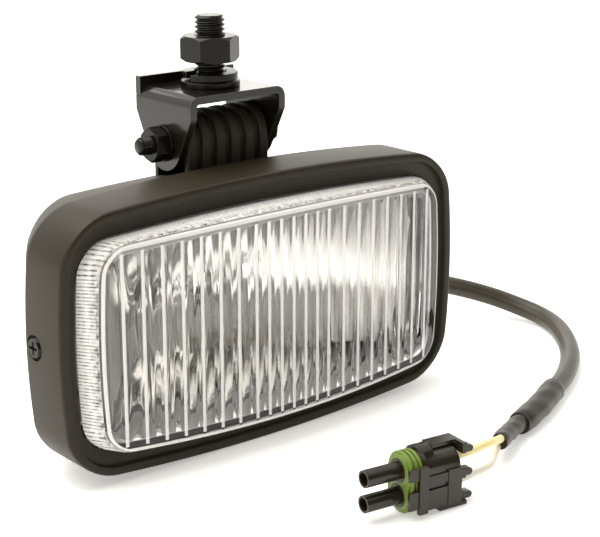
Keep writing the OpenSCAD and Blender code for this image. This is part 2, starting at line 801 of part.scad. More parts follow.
module spring_washer() {
    color([0.15, 0.14, 0.13]) on_plate(washer_t) difference() {
        cylinder(r = spring_r, h = spring_t);
        translate([0, 0, -1]) cylinder(r = stud_r + slip_gap, h = spring_t + 2);
        rotate(180) translate([0, -0.6, -1]) rotate([25, 0, 0]) cube([spring_r + 1, 1.2, spring_t + 4]);
    }
}

module mounting_nut() {
    color([0.15, 0.14, 0.13]) on_plate(washer_t + spring_t + nut_gap) difference() {
        rotate(34) hex(nut_af, nut_h);
        translate([0, 0, -1]) cylinder(r = stud_r + run_gap, h = nut_h + 2);
    }
}

module pivot_bolt() {
    head_x = ear_out + pivot_washer_t;
    color([0.15, 0.14, 0.13]) stand() translate(pivot) {
        along_x(pivot_r, pivot_end_x + bolt_chamfer, head_x, 0, 0);
        translate([pivot_end_x + bolt_chamfer, 0, 0]) rotate([0, -90, 0])
            cylinder(r1 = pivot_r, r2 = pivot_r - bolt_chamfer, h = bolt_chamfer);
        translate([head_x, 0, 0]) rotate([0, 90, 0]) hex(pivot_af, pivot_head_h);
    }
}

module pivot_washers() {
    color([0.2, 0.19, 0.17]) stand() translate(pivot)
        for (side = [0, 1]) mirror([side, 0, 0]) difference() {
            along_x(pivot_washer_r, ear_out, ear_out + pivot_washer_t, 0, 0);
            along_x(pivot_r, ear_out - 1, ear_out + 3, 0, 0);
        }
}

module pivot_nut() {
    color([0.15, 0.14, 0.13]) stand() translate(pivot)
        translate([-ear_out - pivot_washer_t, 0, 0]) rotate([0, -90, 0]) difference() {
            rotate(8) hex(pivot_af, pivot_nut_h);
            translate([0, 0, -1]) cylinder(r = pivot_r, h = pivot_nut_h + 2);
        }
}

bezel();
bezel_screws();
lens();
lens_gasket();
reflector();
rear_housing();
bulb_glass();
bulb_filament();
bulb_base();
bulb_clip();
clip_screws();
bulb_lead();
earth_lead();
lead_terminals();
pivot_sleeve();
cable_grommet();
cable();
outer_sleeve();
inner_sleeve();
yellow_wire();
white_wire();
wire_seals();
plug_body();
plug_terminals();
plug_seal();
plug_lock();
bracket();
mounting_stud();
flat_washer();
spring_washer();
mounting_nut();
pivot_bolt();
pivot_washers();
pivot_nut();
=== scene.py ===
# Looks for the swivel fog light: glass, reflector, bezel, bracket, hardware, cable and plug.
import json
import math

import bmesh
import bpy
from mathutils import Matrix, Vector


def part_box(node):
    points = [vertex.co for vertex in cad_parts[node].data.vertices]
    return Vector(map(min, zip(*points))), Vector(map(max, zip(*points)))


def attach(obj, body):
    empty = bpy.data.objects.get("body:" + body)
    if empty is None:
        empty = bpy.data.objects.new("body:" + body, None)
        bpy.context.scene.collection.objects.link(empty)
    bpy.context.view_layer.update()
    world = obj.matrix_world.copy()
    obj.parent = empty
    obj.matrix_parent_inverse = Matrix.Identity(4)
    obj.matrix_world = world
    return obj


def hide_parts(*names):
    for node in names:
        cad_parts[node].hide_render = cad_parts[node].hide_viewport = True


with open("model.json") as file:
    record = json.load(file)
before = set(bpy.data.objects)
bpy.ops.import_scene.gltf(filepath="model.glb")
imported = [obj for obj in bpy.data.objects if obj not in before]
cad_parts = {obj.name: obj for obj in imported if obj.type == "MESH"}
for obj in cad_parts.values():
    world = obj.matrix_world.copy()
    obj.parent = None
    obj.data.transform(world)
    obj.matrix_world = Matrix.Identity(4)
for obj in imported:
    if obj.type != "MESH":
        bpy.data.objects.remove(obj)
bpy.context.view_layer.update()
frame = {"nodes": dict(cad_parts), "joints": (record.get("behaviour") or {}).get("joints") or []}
nodes = frame["nodes"]
joints = {j["name"]: j for j in frame["joints"]}
mm = 0.001

# Camera
cameraSet = {
    "place": (-303.94, -405.68, 200.17),
    "turn": 40.14,      # degrees to the right of straight ahead
    "dip": 16.57,       # degrees below level
    "lens": 93.9,
}


def makeCamera(o):
    data = bpy.data.cameras.new("camera")
    data.lens = o["lens"]
    data.sensor_width = 36
    data.clip_start, data.clip_end = 0.02, 20
    cam = bpy.data.objects.new("camera", data)
    bpy.context.scene.collection.objects.link(cam)
    cam.location = Vector(o["place"]) * mm
    cam.rotation_euler = (math.radians(90 - o["dip"]), 0, math.radians(-o["turn"]))
    bpy.context.scene.camera = cam


makeCamera(cameraSet)
print("camera set")

# Where the frame puts things
low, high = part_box("bezel")
faceY = low.y                                       # front edge of the bezel
midZ = (low.z + high.z) / 2                         # height of the lamp's optical axis
tilt = Vector(joints["bracket_tilt"]["pos_m"])      # middle of the pivot bolt


# Mesh tools that the pieces share
def finish(name, bm, body, material, replaced=(), angle=35, bevelWidth=0, bevelSteps=2):
    mesh = bpy.data.meshes.new(name)
    bm.to_mesh(mesh)
    bm.free()
    piece = bpy.data.objects.new(name, mesh)
    bpy.context.scene.collection.objects.link(piece)
    for face in mesh.polygons:
        face.use_smooth = True
    mesh.set_sharp_from_angle(angle=math.radians(angle))
    for part in material if isinstance(material, (list, tuple)) else [material]:
        mesh.materials.append(part)
    if bevelWidth:
        edge = piece.modifiers.new("edge", "BEVEL")
        edge.width = bevelWidth
        edge.segments = bevelSteps
        edge.limit_method = "ANGLE"
        edge.angle_limit = math.radians(30)
        edge.harden_normals = True
    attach(piece, body)
    if replaced:
        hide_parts(*replaced)
    return piece


# The lamp's outline is bowed: its corners lie this far inside the middles of its sides and of its top
bow = {"width": 161.2, "height": 88.7, "side": 3.3, "crown": 4.2}


# A rounded rectangle in X and Z at a depth y, from one face whose corners are bevelled
def loopAt(bm, w, h, r, y, corner=8, long=8, short=4):
    verts = bmesh.ops.create_grid(bm, x_segments=1, y_segments=1, size=1)["verts"]
    for v in verts:
        v.co = Vector((v.co.x * w / 2, y, v.co.y * h / 2))
    out = bmesh.ops.bevel(bm, geom=verts, offset=min(r, w / 2.02, h / 2.02), offset_type="OFFSET",
                          segments=corner, profile=0.5, affect="VERTICES", material=-1)
    face = max((f for v in out["verts"] for f in v.link_faces), key=lambda f: len(f.verts))
    straight = [e for e in face.edges if e.calc_length() > r / 3]
    tall = [e for e in straight if abs(e.verts[0].co.x - e.verts[1].co.x) < 1e-5]
    wide = [e for e in straight if abs(e.verts[0].co.z - e.verts[1].co.z) < 1e-5]
    for edges, cuts in ((tall, short), (wide, long)):
        if cuts:
            bmesh.ops.bisect_edges(bm, edges=edges, cuts=cuts)
    return face


# Joins a row of outlines (w, h, r, y) into one skin. closed joins the last one to the first, and keep
# leaves the faces across the outlines for the caller.
def loftSections(bm, sections, closed=False, keep=False, **cuts):
    faces = [loopAt(bm, *section, **cuts) for section in sections]
    loops = [list(f.edges) for f in faces]
    for a, b in zip(loops, loops[1:] + (loops[:1] if closed else [])):
        bmesh.ops.bridge_loops(bm, edges=a + b)
    if not keep:
        bmesh.ops.delete(bm, geom=faces if closed else faces[1:-1], context="FACES_ONLY")
    return faces


# Bows a flat-sided shape as the lamp's outline is bowed, and puts it in the frame
def placeOnLamp(bm):
    for v in bm.verts:
        x, z = v.co.x, v.co.z
        u, t = x / (bow["width"] / 2), z / (bow["height"] / 2)
        v.co.x, v.co.z = x - u * bow["side"] * t * t, z - t * bow["crown"] * u * u
    moveToLamp(bm)


# From the lamp's own millimetres, measured from the middle of the bezel's front edge
def moveToLamp(bm):
    bmesh.ops.transform(bm, matrix=Matrix.Translation((0, faceY, midZ)) @ Matrix.Scale(mm, 4), verts=bm.verts)


def tidyFaces(bm, merge=1e-6):
    bmesh.ops.remove_doubles(bm, verts=bm.verts, dist=merge)
    bmesh.ops.recalc_face_normals(bm, faces=bm.faces)


# A copy of a solid from the frame, merged and cleaned, ready for eased edges
def copyNode(name):
    bm = bmesh.new()
    bm.from_mesh(nodes[name].data)
    bmesh.ops.remove_doubles(bm, verts=bm.verts, dist=2e-6)
    bmesh.ops.dissolve_limit(bm, angle_limit=math.radians(1), verts=bm.verts, edges=bm.edges)
    bmesh.ops.dissolve_degenerate(bm, dist=1e-6, edges=bm.edges)
    return bm


# Shader groups that the materials share
def newGroup(name, inputs, outputs):
    group = bpy.data.node_groups.new(name, "ShaderNodeTree")
    for label, kind, value in inputs:
        made = group.interface.new_socket(name=label, in_out="INPUT", socket_type=kind)
        made.default_value = value
    for label, kind in outputs:
        group.interface.new_socket(name=label, in_out="OUTPUT", socket_type=kind)
    return group, group.nodes.new("NodeGroupInput"), group.nodes.new("NodeGroupOutput")


def node(tree, kind, **values):
    made = tree.nodes.new(kind)
    for key, value in values.items():
        if hasattr(made, key):
            setattr(made, key, value)
        else:
            made.inputs[key.replace("_", " ")].default_value = value
    return made


# Fine moulded or cast grain: a colour between two tones, a roughness, and a height for bump
def makeGrainGroup():
    fineShare = 0.35
    group, start, end = newGroup("moulded grain", [
        ("Dark", "NodeSocketColor", (0.02, 0.02, 0.02, 1)),
        ("Light", "NodeSocketColor", (0.05, 0.05, 0.05, 1)),
        ("Size", "NodeSocketFloat", 1500.0),
        ("Rough", "NodeSocketFloat", 0.5),
        ("Spread", "NodeSocketFloat", 0.12),
    ], [("Color", "NodeSocketColor"), ("Roughness", "NodeSocketFloat"), ("Height", "NodeSocketFloat")])
    link = group.links.new
    place = node(group, "ShaderNodeTexCoord")
    fine = node(group, "ShaderNodeTexNoise", Detail=4.0, Roughness=0.6)
    broad = node(group, "ShaderNodeTexNoise", Scale=38.0, Detail=3.0, Roughness=0.55)
    link(place.outputs["Object"], fine.inputs["Vector"])
    link(place.outputs["Object"], broad.inputs["Vector"])
    link(start.outputs["Size"], fine.inputs["Scale"])
    mixIn = node(group, "ShaderNodeMath", operation="MULTIPLY_ADD")
    link(fine.outputs["Fac"], mixIn.inputs[0])
    mixIn.inputs[1].default_value = fineShare
    broadPart = node(group, "ShaderNodeMath", operation="MULTIPLY")
    link(broad.outputs["Fac"], broadPart.inputs[0])
    broadPart.inputs[1].default_value = 1 - fineShare
    link(broadPart.outputs[0], mixIn.inputs[2])
    tones = node(group, "ShaderNodeMix", data_type="RGBA")
    link(mixIn.outputs[0], tones.inputs[0])
    link(start.outputs["Dark"], tones.inputs[6])
    link(start.outputs["Light"], tones.inputs[7])
    link(tones.outputs[2], end.inputs["Color"])
    shift = node(group, "ShaderNodeMath", operation="SUBTRACT")
    link(mixIn.outputs[0], shift.inputs[0])
    shift.inputs[1].default_value = 0.5
    spread = node(group, "ShaderNodeMath", operation="MULTIPLY_ADD")
    link(shift.outputs[0], spread.inputs[0])
    link(start.outputs["Spread"], spread.inputs[1])
    link(start.outputs["Rough"], spread.inputs[2])
    link(spread.outputs[0], end.inputs["Roughness"])
    link(fine.outputs["Fac"], end.inputs["Height"])
    return group


# Wear along edges: a mask that is 1 on edges, broken up by noise
def makeWearGroup():
    group, start, end = newGroup("edge wear", [
        ("Width", "NodeSocketFloat", 0.0006),
        ("Amount", "NodeSocketFloat", 0.6),
    ], [("Mask", "NodeSocketFloat")])
    link = group.links.new
    soft = node(group, "ShaderNodeBevel", samples=4)
    link(start.outputs["Width"], soft.inputs["Radius"])
    surface = node(group, "ShaderNodeNewGeometry")
    dot = node(group, "ShaderNodeVectorMath", operation="DOT_PRODUCT")
    link(soft.outputs["Normal"], dot.inputs[0])
    link(surface.outputs["Normal"], dot.inputs[1])
    edge = node(group, "ShaderNodeMapRange", From_Min=0.995, From_Max=0.86, To_Min=0.0, To_Max=1.0)
    link(dot.outputs["Value"], edge.inputs["Value"])
    place = node(group, "ShaderNodeTexCoord")
    patch = node(group, "ShaderNodeTexNoise", Scale=240.0, Detail=5.0, Roughness=0.7)
    link(place.outputs["Object"], patch.inputs["Vector"])
    breakUp = node(group, "ShaderNodeMapRange", From_Min=0.38, From_Max=0.62, To_Min=0.15, To_Max=1.0)
    link(patch.outputs["Fac"], breakUp.inputs["Value"])
    both = node(group, "ShaderNodeMath", operation="MULTIPLY")
    link(edge.outputs[0], both.inputs[0])
    link(breakUp.outputs[0], both.inputs[1])
    amount = node(group, "ShaderNodeMath", operation="MULTIPLY")
    link(both.outputs[0], amount.inputs[0])
    link(start.outputs["Amount"], amount.inputs[1])
    link(amount.outputs[0], end.inputs["Mask"])
    return group


grainGroup = makeGrainGroup()
wearGroup = makeWearGroup()


def useGroup(tree, group, **values):
    made = tree.nodes.new("ShaderNodeGroup")
    made.node_tree = group
    for key, value in values.items():
        made.inputs[key].default_value = value
    return made


def rgb(r, g, b):
    return (r, g, b, 1)


# A grained, lightly worn surface: plastic, coated steel or rubber
def grained(name, dark, light, worn, rough=0.5, spread=0.15, size=1500.0, bump=0.1, depth=0.0002,
            metallic=0.0, wear=0.5, wearWidth=0.0005, specular=0.5, coat=0.0):
    made = bpy.data.materials.new(name)
    made.use_nodes = True
    tree = made.node_tree
    shader = tree.nodes["Principled BSDF"]
    grain = useGroup(tree, grainGroup, Dark=rgb(*dark), Light=rgb(*light), Size=size, Rough=rough,
                     Spread=spread)
    edge = useGroup(tree, wearGroup, Width=wearWidth, Amount=wear)
    paint = node(tree, "ShaderNodeMix", data_type="RGBA")
    paint.inputs[7].default_value = rgb(*worn)
    tree.links.new(edge.outputs["Mask"], paint.inputs[0])
    tree.links.new(grain.outputs["Color"], paint.inputs[6])
    tree.links.new(paint.outputs[2], shader.inputs["Base Color"])
    tree.links.new(grain.outputs["Roughness"], shader.inputs["Roughness"])
    lift = node(tree, "ShaderNodeBump", Strength=bump, Distance=depth)
    tree.links.new(grain.outputs["Height"], lift.inputs["Height"])
    tree.links.new(lift.outputs["Normal"], shader.inputs["Normal"])
    shader.inputs["Metallic"].default_value = metallic
    shader.inputs["Specular IOR Level"].default_value = specular
    shader.inputs["Coat Weight"].default_value = coat
    shader.inputs["Coat Roughness"].default_value = 0.3
    return made


def clearGlass(name, rough=0.0, tint=(1, 1, 1), transmission=1.0, haziness=0.02):
    made = bpy.data.materials.new(name)
    made.use_nodes = True
    tree = made.node_tree
    shader = tree.nodes["Principled BSDF"]
    shader.inputs["Transmission Weight"].default_value = transmission
    shader.inputs["IOR"].default_value = 1.5
    haze = node(tree, "ShaderNodeTexNoise", Scale=90.0, Detail=3.0)
    place = node(tree, "ShaderNodeTexCoord")
    tree.links.new(place.outputs["Object"], haze.inputs["Vector"])
    tone = node(tree, "ShaderNodeMapRange", To_Min=rough, To_Max=rough + haziness)
    tree.links.new(haze.outputs["Fac"], tone.inputs["Value"])
    tree.links.new(tone.outputs[0], shader.inputs["Roughness"])
    shader.inputs["Base Color"].default_value = rgb(*tint)
    return made


# The serrated wall's look is painted light and shade: a pale tone with a painted glow, a painted shade line
# in each groove and a painted shade band near the front
serrationSet = {
    "tint": (0.97, 0.96, 0.94), "rough": 0.1, "transmission": 0.12,
    "pale": (1.0, 0.99, 0.97), "dark": (0.05, 0.045, 0.035),
    "lines": 0.95,      # how dark the line in each groove is
    "shadeBand": ((0.0, 0.0), (0.5, 0.04), (0.62, 0.5), (0.74, 1.0), (0.9, 0.9)),   # darkness up the wall's rise
    "shadeBandShare": 0.95,
    "glow": 0.16,       # stands for the light that the glass carries to its edge
}


# Serrated glass with its look painted: pale, with a painted glow for the light that the glass carries to its
# edge, and painted shade from the glass's refraction, a dark line in each groove and a dark toothed band near
# its front
def serratedGlass(name, o):
    made = clearGlass(name, rough=o["rough"], tint=o["tint"], transmission=o["transmission"])
    tree = made.node_tree
    shader = tree.nodes["Principled BSDF"]
    groove = node(tree, "ShaderNodeAttribute", attribute_name="groove")
    rise = node(tree, "ShaderNodeAttribute", attribute_name="rise")
    # painted shade: a dark line along each groove, where the glass's refraction darkens it
    lines = node(tree, "ShaderNodeMapRange", From_Min=0.5, From_Max=0.9, To_Min=0.0, To_Max=o["lines"])
    tree.links.new(groove.outputs["Fac"], lines.inputs["Value"])
    # painted shade: a dark toothed band up the wall's rise, near its front, from the glass's refraction
    shadeBand = node(tree, "ShaderNodeValToRGB")
    for spot, value in o["shadeBand"]:
        stop = shadeBand.color_ramp.elements[0] if spot == 0 else shadeBand.color_ramp.elements.new(spot)
        stop.position, stop.color = spot, rgb(value, value, value)
    shadeBand.color_ramp.elements[-1].color = rgb(0, 0, 0)
    tree.links.new(rise.outputs["Fac"], shadeBand.inputs["Fac"])
    toothedShade = node(tree, "ShaderNodeMath", operation="MULTIPLY_ADD", use_clamp=True)
    tree.links.new(shadeBand.outputs["Color"], toothedShade.inputs[0])
    toothedShade.inputs[1].default_value = o["shadeBandShare"]
    tree.links.new(lines.outputs[0], toothedShade.inputs[2])
    patch = node(tree, "ShaderNodeTexNoise", Scale=620.0, Detail=2.0)
    place = node(tree, "ShaderNodeTexCoord")
    tree.links.new(place.outputs["Object"], patch.inputs["Vector"])
    uneven = node(tree, "ShaderNodeMapRange", From_Min=0.35, From_Max=0.65, To_Min=0.3, To_Max=1.0)
    tree.links.new(patch.outputs["Fac"], uneven.inputs["Value"])
    mask = node(tree, "ShaderNodeMath", operation="MULTIPLY")
    tree.links.new(toothedShade.outputs[0], mask.inputs[0])
    tree.links.new(uneven.outputs[0], mask.inputs[1])
    # the pale tone and the painted shade, mixed into the glass's colour
    tone = node(tree, "ShaderNodeMix", data_type="RGBA")
    tree.links.new(mask.outputs[0], tone.inputs[0])
    tone.inputs[6].default_value = rgb(*o["pale"])
    tone.inputs[7].default_value = rgb(*o["dark"])
    tree.links.new(tone.outputs[2], shader.inputs["Base Color"])
    # painted glow: the pale tone glows, standing for the light that the glass carries to its edge
    tree.links.new(tone.outputs[2], shader.inputs["Emission Color"])
    shader.inputs["Emission Strength"].default_value = o["glow"]
    return made


finishes = {
    "bezel": grained("bezel plastic", (0.017, 0.013, 0.007), (0.031, 0.025, 0.014), (0.12, 0.105, 0.08),
                     rough=0.44, size=2600, bump=0.25, depth=0.00012, wear=0.35, specular=0.22),
    "housing": grained("housing plastic", (0.02, 0.017, 0.009), (0.038, 0.032, 0.019), (0.12, 0.105, 0.08),
                       rough=0.55, size=2200, bump=0.25, depth=0.00015, wear=0.3, specular=0.35),
    "steel": grained("coated steel", (0.005, 0.004, 0.002), (0.012, 0.01, 0.006), (0.16, 0.14, 0.1),
                     rough=0.16, size=900, bump=0.1, depth=0.0001, wear=0.5, specular=0.3, coat=0.25),
    "bolt": grained("oiled black bolt", (0.003, 0.0025, 0.0015), (0.009, 0.0078, 0.005), (0.17, 0.15, 0.11),
                    rough=0.24, size=1100, bump=0.15, depth=0.00008, wear=0.5, wearWidth=0.0003,
                    specular=0.2),
    "rubber": grained("black rubber", (0.02, 0.019, 0.017), (0.03, 0.028, 0.025), (0.05, 0.05, 0.045),
                      rough=0.6, size=1400, bump=0.1, wear=0.2),
    "jacket": grained("cable jacket", (0.034, 0.028, 0.017), (0.056, 0.048, 0.031), (0.12, 0.11, 0.09),
                      rough=0.4, size=1700, bump=0.12, wear=0.1, specular=0.4),
    "shrink": grained("shrink sleeve", (0.014, 0.01, 0.005), (0.027, 0.021, 0.012), (0.1, 0.09, 0.07),
                      rough=0.38, size=700, bump=0.2, depth=0.0002, wear=0.1, specular=0.3),
    "plug": grained("plug plastic", (0.013, 0.01, 0.006), (0.024, 0.019, 0.011), (0.1, 0.088, 0.06),
                    rough=0.22, size=1300, bump=0.06, wear=0.35, wearWidth=0.0003, specular=0.4),
    "seal": grained("green seal", (0.11, 0.17, 0.02), (0.18, 0.27, 0.04), (0.34, 0.44, 0.12),
                    rough=0.4, size=900, bump=0.08, wear=0.3, wearWidth=0.0004),
    "yellow": grained("yellow insulation", (0.8, 0.67, 0.27), (0.9, 0.79, 0.4), (0.92, 0.84, 0.52),
                      rough=0.4, size=800, bump=0.05, wear=0.1),
    "cream": grained("cream insulation", (0.78, 0.74, 0.66), (0.88, 0.85, 0.78), (0.92, 0.9, 0.85),
                     rough=0.4, size=800, bump=0.05, wear=0.1),
    "bright": grained("plated metal", (0.5, 0.48, 0.44), (0.66, 0.64, 0.6), (0.8, 0.78, 0.74),
                      rough=0.28, size=1600, bump=0.08, metallic=1.0, wear=0.3),
    "mirror": grained("coated reflector", (0.86, 0.85, 0.83), (0.93, 0.92, 0.9), (0.95, 0.95, 0.94),
                      rough=0.09, spread=0.06, size=500, bump=0.02, metallic=1.0, wear=0.0),
    "glass": clearGlass("pressed glass"),
    # serrated wall glass with painted glow and painted shade
    "wall": serratedGlass("serrated glass edge", serrationSet),
    # rough glass with a whitish base colour that is a painted highlight, for the bright lines of the ridges
    # and the lens's top and bottom
    "ridge": clearGlass("glass ridge, painted highlight", rough=0.3, tint=(0.98, 0.97, 0.95), transmission=0.25),
    "capsule": clearGlass("bulb glass"),
}
print("materials made")

# Cable, sleeves and wires
cableSet = {
    "points": [(20, 50, 31), (20, 58, 30.5), (23, 68, 28.5), (33, 77, 26), (48, 81, 23.5), (66, 79, 21),
               (84, 71, 19), (101, 58, 17), (117, 41, 15.5), (132, 20, 13), (143, 8, 9.5), (150, -3, 6),
               (152, -14, 4), (147.5, -26, 3.6), (138.5, -38.5, 3.6), (128, -49.6, 3.6), (117, -58.5, 3.6),
               (105, -66, 3.6), (90, -73.5, 4)],
    "radius": 3.6,
    "groove": 0.45,     # depth of the hollow between the two cores
    "sides": 32,
    "steps": 8,
}
sleeveSet = {
    "outer": {"points": [(92, -72.5, 4.2), (90, -73.5, 4.4), (75, -80.5, 4.4), (60, -86, 4.4)],
              "radius": 4.1, "sides": 32, "waves": 5, "drawIn": 0.35},
    "inner": {"points": [(62, -85.2, 4.7), (50, -90.5, 5.6), (39, -96.5, 7)],
              "radius": 2.9, "sides": 28, "waves": 4, "drawIn": 0.3},
    "steps": 12,
}
wireSet = {
    "yellow": [(40.5, -95.8, 7.8), (38.5, -97.2, 8.4), (32, -101.6, 11), (25, -105.3, 13.4),
               (13.94, -106.55, 13.9), (7.51, -105.65, 13.9)],
    "cream": [(40.5, -95, 5.2), (38.5, -96, 5.2), (32, -100.4, 4.7), (25, -104.6, 5.3), (13.94, -106.55, 6),
              (7.51, -105.65, 6)],
    "radius": 1.3,
    "sides": 20,
    "steps": 10,
}


# A smooth curve through the points, with so many steps between each pair
def smoothPath(points, steps):
    p = [Vector(q) * mm for q in points]
    path = []
    for i in range(len(p) - 1):
        a, b, c, d = p[max(i - 1, 0)], p[i], p[i + 1], p[min(i + 2, len(p) - 1)]
        for s in range(steps):
            t = s / steps
            path.append(0.5 * (2 * b + (c - a) * t + (2 * a - 5 * b + 4 * c - d) * t * t
                               + (3 * b - a - 3 * c + d) * t ** 3))
    return path + [p[-1]]


# A tube along a path; shape(angle, share) is its radius at an angle, a share of the way along
def sweepTube(path, sides, shape):
    bm = bmesh.new()
    turn = bm.verts.layers.int.new("turn")
    bmesh.ops.create_circle(bm, cap_ends=True, segments=sides, radius=1)
    for v in bm.verts:
        v[turn] = round(math.atan2(v.co.y, v.co.x) / (2 * math.pi) * sides) % sides
    face = list(bm.faces)[0]
    last = len(path) - 1
    for i, spot in enumerate(path):
        if i:
            made = bmesh.ops.extrude_face_region(bm, geom=[face])["geom"]
            if i > 1:
                bmesh.ops.delete(bm, geom=[face], context="FACES_ONLY")
            face = next(f for f in made if isinstance(f, bmesh.types.BMFace))
        ahead = (path[min(i + 1, last)] - path[max(i - 1, 0)]).normalized()
        across = ahead.cross(Vector((0, 0, 1))).normalized()
        up = across.cross(ahead)
        for v in face.verts:
            angle = 2 * math.pi * v[turn] / sides
            radius = shape(angle, i / last) * mm
            v.co = spot + radius * (math.cos(angle) * across + math.sin(angle) * up)
    tidyFaces(bm)
    return bm


def bump(x, middle, width):
    return math.exp(-((x - middle) / width) ** 2)


# The jacket has a shallow hollow along each side, between its two cores
def jacketShape(angle, share):
    hollow = sum(bump(angle, math.radians(a), 0.35) for a in (35, 215))
    return cableSet["radius"] - cableSet["groove"] * hollow


# Shrink tube: a little wavy, and pulled in at its ends
def makeSleeve(name, o, steps, replaced):
    def shape(angle, share):
        wave = 0.09 * math.sin(o["waves"] * share * 6.3 + 2 * angle) + 0.06 * math.sin(17 * share + 3 * angle)
        return o["radius"] + wave - o["drawIn"] * (bump(share, 0, 0.06) + bump(share, 1, 0.06))

    bm = sweepTube(smoothPath(o["points"], steps), o["sides"], shape)
    return finish(name, bm, "lamp", finishes["shrink"], [replaced])


def makeWire(o, colour, replaced):
    bm = sweepTube(smoothPath(o[colour], o["steps"]), o["sides"], lambda angle, share: o["radius"])
    return finish(colour + "Wire", bm, "lamp", finishes[colour], [replaced])


cablePath = smoothPath(cableSet["points"], cableSet["steps"])
cableLine = finish("cableJacket", sweepTube(cablePath, cableSet["sides"], jacketShape), "lamp",
                   finishes["jacket"], ["cable"])
outerTube = makeSleeve("outerSleeve", sleeveSet["outer"], sleeveSet["steps"], "outer_sleeve")
innerTube = makeSleeve("innerSleeve", sleeveSet["inner"], sleeveSet["steps"], "inner_sleeve")
wires = [makeWire(wireSet, "yellow", "yellow_wire"), makeWire(wireSet, "cream", "white_wire")]
print("cable, sleeves and wires made")

# Bezel
bezelSet = {
    "w": bow["width"], "h": bow["height"], "r": 16, "depth": 20, "openW": 148.4, "openH": 71.3, "openR": 10.6,
    "wall": 2, "rim": 3.2, "step": 1.75, "lip": 4, "screwY": 14.8, "recessR": 4.1, "recess": 0.8,
}


def makeBezel(o):
    w, h, openW, openH, openR = o["w"], o["h"], o["openW"], o["openH"], o["openR"]

    def inset(d, y):
        return (w - 2 * d, h - 2 * d, o["r"] - d, y)

    sections = [
        inset(0.4, o["depth"]), inset(0.06, o["depth"] - 0.4), inset(0, o["depth"] - 1.2), inset(0, 1.4),
        inset(0.1, 0.7), inset(0.35, 0.22), inset(0.75, 0), inset(o["rim"] - 0.4, 0),
        inset(o["rim"] - 0.08, 0.12), inset(o["rim"] + 0.08, 0.5), inset(o["rim"] + 0.15, o["step"] - 0.5),
        inset(o["rim"] + 0.5, o["step"]), (openW + 1.3, openH + 1.3, openR + 0.6, o["step"] + 0.1),
        (openW + 0.3, openH + 0.3, openR + 0.2, o["step"] + 0.4), (openW, openH, openR, o["step"] + 0.9),
        (openW, openH, openR, o["lip"]), inset(o["wall"] + 0.1, o["lip"]),
        inset(o["wall"], o["lip"] + 0.4), inset(o["wall"], o["depth"]),
    ]
    bm = bmesh.new()
    loftSections(bm, sections, closed=True, long=16, short=8, corner=12)
    placeOnLamp(bm)
    tidyFaces(bm)
    piece = finish("bezelFrame", bm, "lamp", finishes["bezel"], ["bezel"])
    cutter, cutterLong = bmesh.new(), 4
    for side in (-1, 1):
        middle = (side * (w / 2 - o["recess"] + cutterLong / 2) * mm, faceY + o["screwY"] * mm, midZ)
        bmesh.ops.create_cone(cutter, cap_ends=True, segments=40, radius1=o["recessR"] * mm,
                              radius2=o["recessR"] * mm, depth=cutterLong * mm,
                              matrix=Matrix.Translation(middle) @ Matrix.Rotation(math.pi / 2, 4, "Y"))
    carve(piece, cutter)


# Cuts one shape out of a piece, and keeps the result as plain mesh
def carve(piece, cutter):
    mesh = bpy.data.meshes.new("cutter")
    cutter.to_mesh(mesh)
    cutter.free()
    tool = bpy.data.objects.new("cutter", mesh)
    bpy.context.scene.collection.objects.link(tool)
    cut = piece.modifiers.new("cut", "BOOLEAN")
    cut.object = tool
    cut.operation = "DIFFERENCE"
    cut.solver = "EXACT"
    result = bpy.data.meshes.new_from_object(piece.evaluated_get(bpy.context.evaluated_depsgraph_get()))
    piece.modifiers.remove(cut)
    piece.data = result
    result.set_sharp_from_angle(angle=math.radians(35))
    bpy.data.objects.remove(tool)


makeBezel(bezelSet)
print("bezel made")

# Rear housing with its finned boss
housingSet = {
    "w": 156.7, "h": 84.2, "r": 13.75, "front": 11, "straight": 21.5, "wall": 2.2,
    "backFrom": 40,     # past this depth the inside lies a wall's thickness in front of the outside
    "back": [(155.9, 83.7, 14, 23.6), (152.4, 82.6, 14.6, 26.8), (145.8, 80.9, 15, 32),
             (138, 78.4, 15.4, 38.5), (128.4, 74.6, 16, 46), (119, 69.4, 16.5, 53), (110.2, 63.2, 17, 59.6),
             (102.6, 56.8, 17.4, 66), (97.4, 51.4, 17.6, 71), (94.6, 48.4, 17.2, 73.8),
             (92.4, 46.4, 16.4, 74.8), (88.6, 42.8, 15.4, 75.2)],
    "boss": {"r": 9.6, "core": 8.2, "half": 16.4, "fins": 6, "fin": 3.4, "down": 14},
    "feet": {"x": 30, "w": 5, "from": 21, "to": 44, "up": 9},
}


def makeHousing(o):
    outer = [(o["w"], o["h"], o["r"], o["front"]), (o["w"], o["h"], o["r"], o["straight"])] + o["back"]
    wall, behind = o["wall"], 0.4
    inner = [(w - 2 * wall, h - 2 * wall, r - wall, y - wall if y > o["backFrom"] else y + behind)
             for w, h, r, y in outer]
    bm = bmesh.new()
    loftSections(bm, inner[::-1] + outer, long=14, short=6, corner=10)
    placeOnLamp(bm)
    tidyFaces(bm)
    finish("rearHousing", bm, "lamp", finishes["housing"], ["rear_housing"], angle=40)


# Draws faces out along X
def extrudeAcross(bm, faces, length):
    out = bmesh.ops.extrude_face_region(bm, geom=faces)["geom"]
    bmesh.ops.translate(bm, vec=(length, 0, 0), verts=[v for v in out if isinstance(v, bmesh.types.BMVert)])


# One upright plate of the boss: round over the pivot and straight down to the housing
def addFin(bm, radius, fromX, toX, down):
    below = -0.01
    made = bmesh.ops.create_circle(bm, cap_ends=True, segments=48, radius=radius)["verts"]
    for v in made:
        y, z = v.co.x, v.co.y
        v.co = Vector((fromX, y, z if z > below else -down))
        if z < below:
            v.co.y = math.copysign(radius, y) if abs(y) > radius * 0.5 else y * 1.6
    bmesh.ops.remove_doubles(bm, verts=made, dist=1e-4)
    face = max((f for v in made if v.is_valid for f in v.link_faces), key=lambda f: len(f.verts))
    extrudeAcross(bm, [face], toX - fromX)


